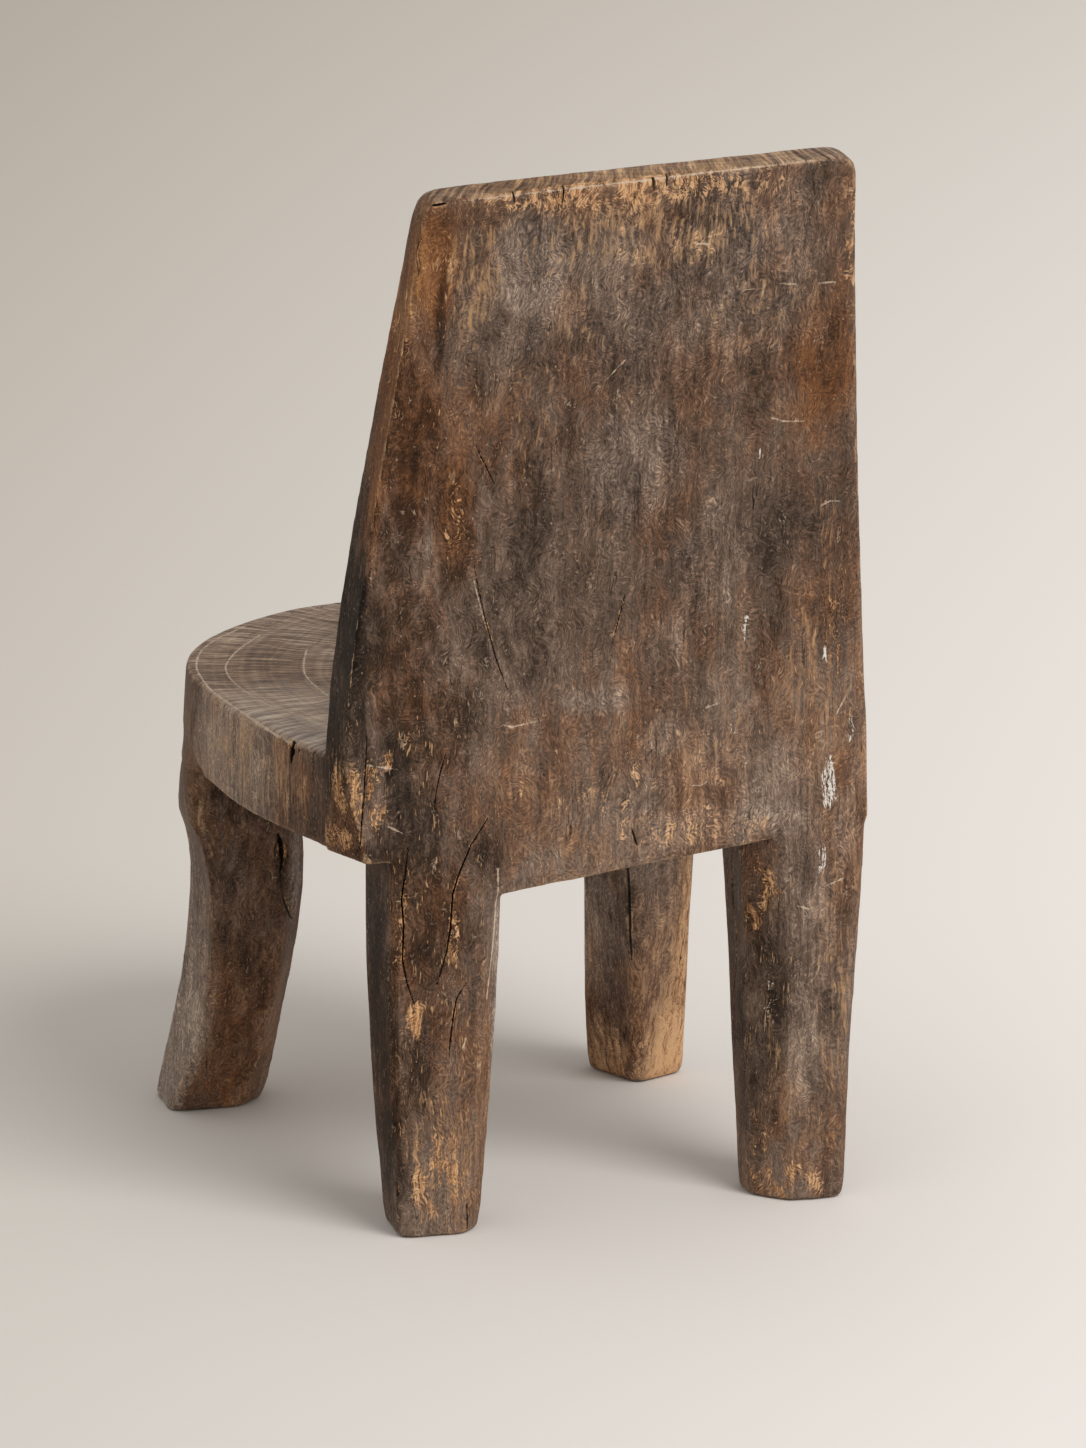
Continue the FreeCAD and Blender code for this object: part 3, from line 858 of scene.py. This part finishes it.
# Each pattern: the coordinates, the stretch along the grain, its width in millimetres, and its detail.
# The real pores and crinkles are finer still. They are drawn as coarse as they need to be to show.
patterns = {
    "cloud": (place_mm, 1.5, 95, 2),
    "warmth": (place_mm, 2.2, 60, 3),
    "blotch": (bent, 3.4, 18, 4),
    "streak": (bent, 26, 3.4, 3),
    "pore": (bent, 9, 1.2, 1),
    "check": (bent, 30, 6, 1),
    "crinkle": (swirled, 2.2, 1.5, 1),
    "ripple": (place_mm, 1.6, 24, 1),
    "stroke": (swirled, 2.5, 3.4, 0),
    "scuffed": (place_mm, 1.5, 14, 2),
    "speck": (place_mm, 1.3, 1.8, 0),
    "flake": (bent, 2.6, 8, 5),
    "fleck": (bent, 7, 1.5, 1),
}
noise_roughness = 0.62
field = {}
for name, (coordinates, stretch, width, detail) in patterns.items():
    shrunk = add(tree, "VectorMath", {0: coordinates, 1: (1, 1, 1 / stretch)}, operation="MULTIPLY")
    field[name] = add(tree, "TexNoise", {
        "Vector": shrunk, "Scale": 1 / width, "Detail": float(detail), "Roughness": noise_roughness})
worn = {mark: add(tree, "Attribute", {}, out="Fac", attribute_name=mark) for mark in marks}
print(len(field), "patterns and", len(worn), "marks")

# %% [markdown]
# The dried oil has shrunk into fine ripples that run side by side, and it is scuffed in short thin strokes.
# Level lines of a slow noise give both: many levels lie side by side, and one level alone is a thin curve.
# Drying has also opened hairline checks along the grain in some stretches.

# %% Draw the ripples, the strokes and the checks
# MapRange takes a value at 0, the range that it comes from at 1 and 2, and the range to give at 3 and 4.
ripple_levels = 110.0
stroke_band = 0.035
check_band = 0.012
unscuffed = add(tree, "MapRange", {0: field["scuffed"], 1: 0.62, 2: 0.42})
scuffed = add(tree, "MapRange", {0: field["scuffed"], 1: 0.45, 2: 0.6})
dried = add(tree, "MapRange", {0: field["blotch"], 1: 0.57, 2: 0.68})
ripple = add(tree, "Math", {0: field["ripple"], 1: ripple_levels}, operation="MULTIPLY")
ripple = add(tree, "Math", {0: ripple}, operation="SINE")
ripple = add(tree, "Math", {0: ripple, 1: unscuffed}, operation="MULTIPLY")
stroke = add(tree, "Math", {0: field["stroke"], 1: noise_middle, 2: stroke_band}, operation="COMPARE")
stroke = add(tree, "Math", {0: stroke, 1: scuffed}, operation="MULTIPLY")
check = add(tree, "Math", {0: field["check"], 1: noise_middle, 2: check_band}, operation="COMPARE")
check = add(tree, "Math", {0: check, 1: dried}, operation="MULTIPLY")
print(len(tree.nodes), "nodes so far")

# %% [markdown]
# The colour of the sides runs from soot and painted shade over brown to worn tan. Two scales share one tone:
# a grey one where smoke and hands have dulled the wood, with painted shade and a painted sheen in it, and a
# tan one where the oiled wood shows. The edge between the two is feathered along the grain, as where a film
# has worn through.

# %% Colour the sides
def sum_of(start, gains):
    """Adds fields to a start value, each times its own gain."""
    total = start
    for socket, gain in gains:
        total = add(tree, "Math", {0: socket, 1: gain, 2: total}, operation="MULTIPLY_ADD")
    return total


# Each film, of soot with painted shade and of polish with a painted sheen, is thick where its spot is strong.
# Flakes and streaks break its edge.
film_edge = (0.15, 0.95)
soot_and_painted_shade = sum_of(-1.5, ((worn["soot_and_painted_shade"], 1.0), (field["flake"], 2.0), (field["streak"], 0.9)))
soot_and_painted_shade = add(tree, "MapRange", {0: soot_and_painted_shade, 1: film_edge[0], 2: film_edge[1]})
# Painted sheen with real polish: this film greys and lightens the wood where its spots lie, as the sky's
# reflection in the oil would.
polish_and_painted_sheen = sum_of(-1.55, ((worn["polish_and_painted_sheen"], 1.0), (field["flake"], 2.0), (field["streak"], 1.0)))
polish_and_painted_sheen = add(tree, "MapRange", {0: polish_and_painted_sheen, 1: film_edge[0], 2: film_edge[1]})
# Painted glints: where the polish lies, the crinkles of the dried oil are drawn lighter, as highlights on
# their ridges.
painted_crinkle_glints = add(tree, "Math", {0: polish_and_painted_sheen, 1: field["crinkle"]}, operation="MULTIPLY")
# In the tone and the warmth, the soot film darkens and greys the sides as soot and as painted shade, and the
# polish film greys them as a painted sheen.
tone = sum_of(-0.655, (
    (field["cloud"], 0.75), (field["blotch"], 0.55), (field["streak"], 0.38), (field["pore"], 0.2),
    (field["crinkle"], 0.5), (ripple, 0.045), (stroke, 0.16), (soot_and_painted_shade, -0.42), (polish_and_painted_sheen, -0.11),
    (painted_crinkle_glints, 0.6), (worn["warm"], -0.07), (worn["hollow"], -0.25),
    (worn["arris"], 0.12)))
warmth = sum_of(-2.56, (
    (field["warmth"], 2.2), (field["streak"], 1.2), (field["crinkle"], 0.7), (field["flake"], 1.4),
    (worn["warm"], 0.8), (soot_and_painted_shade, -0.3), (polish_and_painted_sheen, -0.4)))
warmth = add(tree, "Clamp", {0: warmth})
grey = add(tree, "ValToRGB", {0: tone}, stops=(
    (0.0, "#19130e"), (0.3, "#3b2f26"), (0.55, "#655347"), (0.8, "#907b6b"), (1.0, "#baa793")))
tan = add(tree, "ValToRGB", {0: tone}, stops=(
    (0.0, "#20140b"), (0.3, "#4b301d"), (0.55, "#784f33"), (0.8, "#a6774d"), (1.0, "#d3a576")))

colour = add(tree, "Mix", {0: warmth, 6: grey, 7: tan}, out=2, data_type="RGBA")
print(len(tree.nodes), "nodes so far")

# %% [markdown]
# Upright fibres end on the seat and on top of the back. There the log shows its rings round the pith,
# which lay under the seat's right half, and rays that run out from it. A wood texture from a picture has
# neither in the right place, so both come from the distance and the angle to the pith. Hands keep the back's
# top warm.

# %% Colour the end grain
pith = (-90, 0, 0)
ring_width = 5.0
rays_per_radian = 80.0
ray_length = 45
from_pith = add(tree, "VectorMath", {0: bent, 1: pith}, operation="SUBTRACT")
flat_way = add(tree, "VectorMath", {0: from_pith, 1: (1, 1, 0)}, operation="MULTIPLY")
radius = add(tree, "VectorMath", {0: flat_way}, out="Value", operation="LENGTH")
ring = add(tree, "Math", {0: radius, 1: 1 / ring_width}, operation="MULTIPLY")
ring = add(tree, "TexNoise", {"W": ring, "Scale": 1.0, "Detail": 1.0}, noise_dimensions="1D")
split = add(tree, "SeparateXYZ", {0: flat_way}).node
angle = add(tree, "Math", {0: split.outputs["Y"], 1: split.outputs["X"]}, operation="ARCTAN2")
way_round = add(tree, "Math", {0: angle, 1: rays_per_radian}, operation="MULTIPLY")
way_out = add(tree, "Math", {0: radius, 1: 1 / ray_length}, operation="MULTIPLY")
fan = add(tree, "CombineXYZ", {0: way_round, 1: way_out})
ray = add(tree, "TexNoise", {"Vector": fan, "Scale": 1.0, "Detail": 4.0, "Roughness": 0.7})

# Rays crowd together at the pith, so they are fainter there.
ray_strength = add(tree, "MapRange", {0: radius, 1: 20.0, 2: 190.0, 3: 0.25, 4: 1.0})
ray = add(tree, "Math", {0: ray, 1: noise_middle}, operation="SUBTRACT")
ray = add(tree, "Math", {0: ray, 1: ray_strength}, operation="MULTIPLY")
# On the end grain too, soot darkens partly as painted shade, and polish lightens partly as a painted sheen.
end_tone = sum_of(-0.12, (
    (ring, 0.32), (ray, 2.3), (field["blotch"], 0.6), (field["cloud"], 0.3), (worn["soot_and_painted_shade"], -0.2),
    (worn["polish_and_painted_sheen"], 0.2)))
end_grey = add(tree, "ValToRGB", {0: end_tone}, stops=(
    (0.0, "#3a2d23"), (0.3, "#645040"), (0.55, "#8b7564"), (0.8, "#af9984"), (1.0, "#d0bda9")))
end_tan = add(tree, "ValToRGB", {0: end_tone}, stops=(
    (0.0, "#33231a"), (0.3, "#5d422e"), (0.55, "#84613f"), (0.8, "#ad8459"), (1.0, "#cfa77a")))
end_colour = add(tree, "Mix", {0: worn["warm"], 6: end_grey, 7: end_tan}, out=2, data_type="RGBA")
colour = add(tree, "Mix", {0: worn["end_grain"], 6: colour, 7: end_colour}, out=2, data_type="RGBA")
print("rings of", ring_width, "mm round the pith at", pith[:2])

# %% [markdown]
# Wear comes on top. Each kind has a colour, a mark that says where, and a pattern that breaks its edge, so
# that flakes end along the grain and a rubbed arris is never one even line.

# %% Add the wear
bare_tone = sum_of(-0.42, (
    (field["streak"], 1.0), (field["pore"], 0.5), (field["crinkle"], 0.5), (worn["polish_and_painted_sheen"], 0.22)))
bare_wood = add(tree, "ValToRGB", {0: bare_tone}, stops=(
    (0.25, "#563b27"), (0.5, "#966944"), (0.75, "#d2a67a")))
ragged_flake = sum_of(0.0, ((field["flake"], 2.2), (field["crinkle"], 1.0)))
speckled = sum_of(0.0, ((field["flake"], 1.2), (field["pore"], 1.2), (field["crinkle"], 1.0)))
flecks = sum_of(0.0, ((field["fleck"], 8.0), (field["flake"], 5.0)))
streaks = sum_of(0.0, ((field["streak"], 3.0), (field["fleck"], 1.5), (field["flake"], 1.5)))
thinned = sum_of(0.0, ((field["flake"], 0.8), (field["streak"], 0.5), (field["crinkle"], 0.3)))

# Each layer: its mark, the pattern that breaks its edge, where their sum starts and ends it, and its colour.
wear_layers = (
    ("faded", thinned, (0.95, 1.75), bare_wood),
    ("streaked", streaks, (3.85, 4.5), linear("#a5825f")),
    ("flecked", flecks, (8.8, 9.6), linear("#b08b66")),
    ("arris", ragged_flake, (2.3, 2.7), linear("#a5876a")),
    ("bare", ragged_flake, (2.34, 2.6), bare_wood),
    ("lip", ragged_flake, (1.95, 2.7), linear("#c8b29b")),
    ("residue", speckled, (2.58, 2.8), linear("#d9d3ca")),
    ("crack", 0.0, (0.2, 0.7), linear("#0f0b08")),
)
for mark, breaker, (start, end), layer in wear_layers:
    where = add(tree, "Math", {0: worn[mark], 1: breaker}, operation="ADD")
    where = add(tree, "MapRange", {0: where, 1: start, 2: end})
    colour = add(tree, "Mix", {0: where, 6: colour, 7: layer}, out=2, data_type="RGBA")
colour = add(tree, "Mix", {0: check, 6: colour, 7: linear("#241a13")}, out=2, data_type="RGBA")
speck = add(tree, "MapRange", {0: field["speck"], 1: 0.8, 2: 0.86, 4: 0.6})
colour = add(tree, "Mix", {0: speck, 6: colour, 7: linear("#ab9783")}, out=2, data_type="RGBA")
print(len(wear_layers), "layers of wear")

# %% [markdown]
# Oil and hands give a soft sheen, stronger where the wood is polished and duller where it is bare. The fibres
# and the crinkled skin of old oil stand a few tenths of a millimetre high, which a bump can show.

# %% Give it sheen and relief
relief_height = 1.0 * mm
roughness = sum_of(0.37, (
    (field["blotch"], 0.25), (worn["polish_and_painted_sheen"], -0.08), (worn["bare"], 0.15), (worn["soot_and_painted_shade"], 0.1)))
sheen = sum_of(0.08, ((polish_and_painted_sheen, 0.3),))
relief = sum_of(0.0, (
    (field["crinkle"], 0.8), (field["streak"], 0.5), (field["pore"], 0.3), (ripple, 0.06), (check, -0.5)))
bump = add(tree, "Bump", {"Height": relief, "Strength": 1.0, "Distance": relief_height})
surface = add(tree, "BsdfPrincipled", {
    "Base Color": colour, "Roughness": roughness, "Specular IOR Level": sheen, "Normal": bump})
add(tree, "OutputMaterial", {"Surface": surface})
print(len(tree.nodes), "nodes in the wood")

# %% [markdown]
# ## Hand over
# Every piece stands for one packed member, rides on the chair's only body and takes the wood's slot.

# %% Hand the pieces over
for name, piece in pieces.items():
    piece.data.materials.clear()
    piece.data.materials.append(wood)
    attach(piece, "root")
    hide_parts(name)
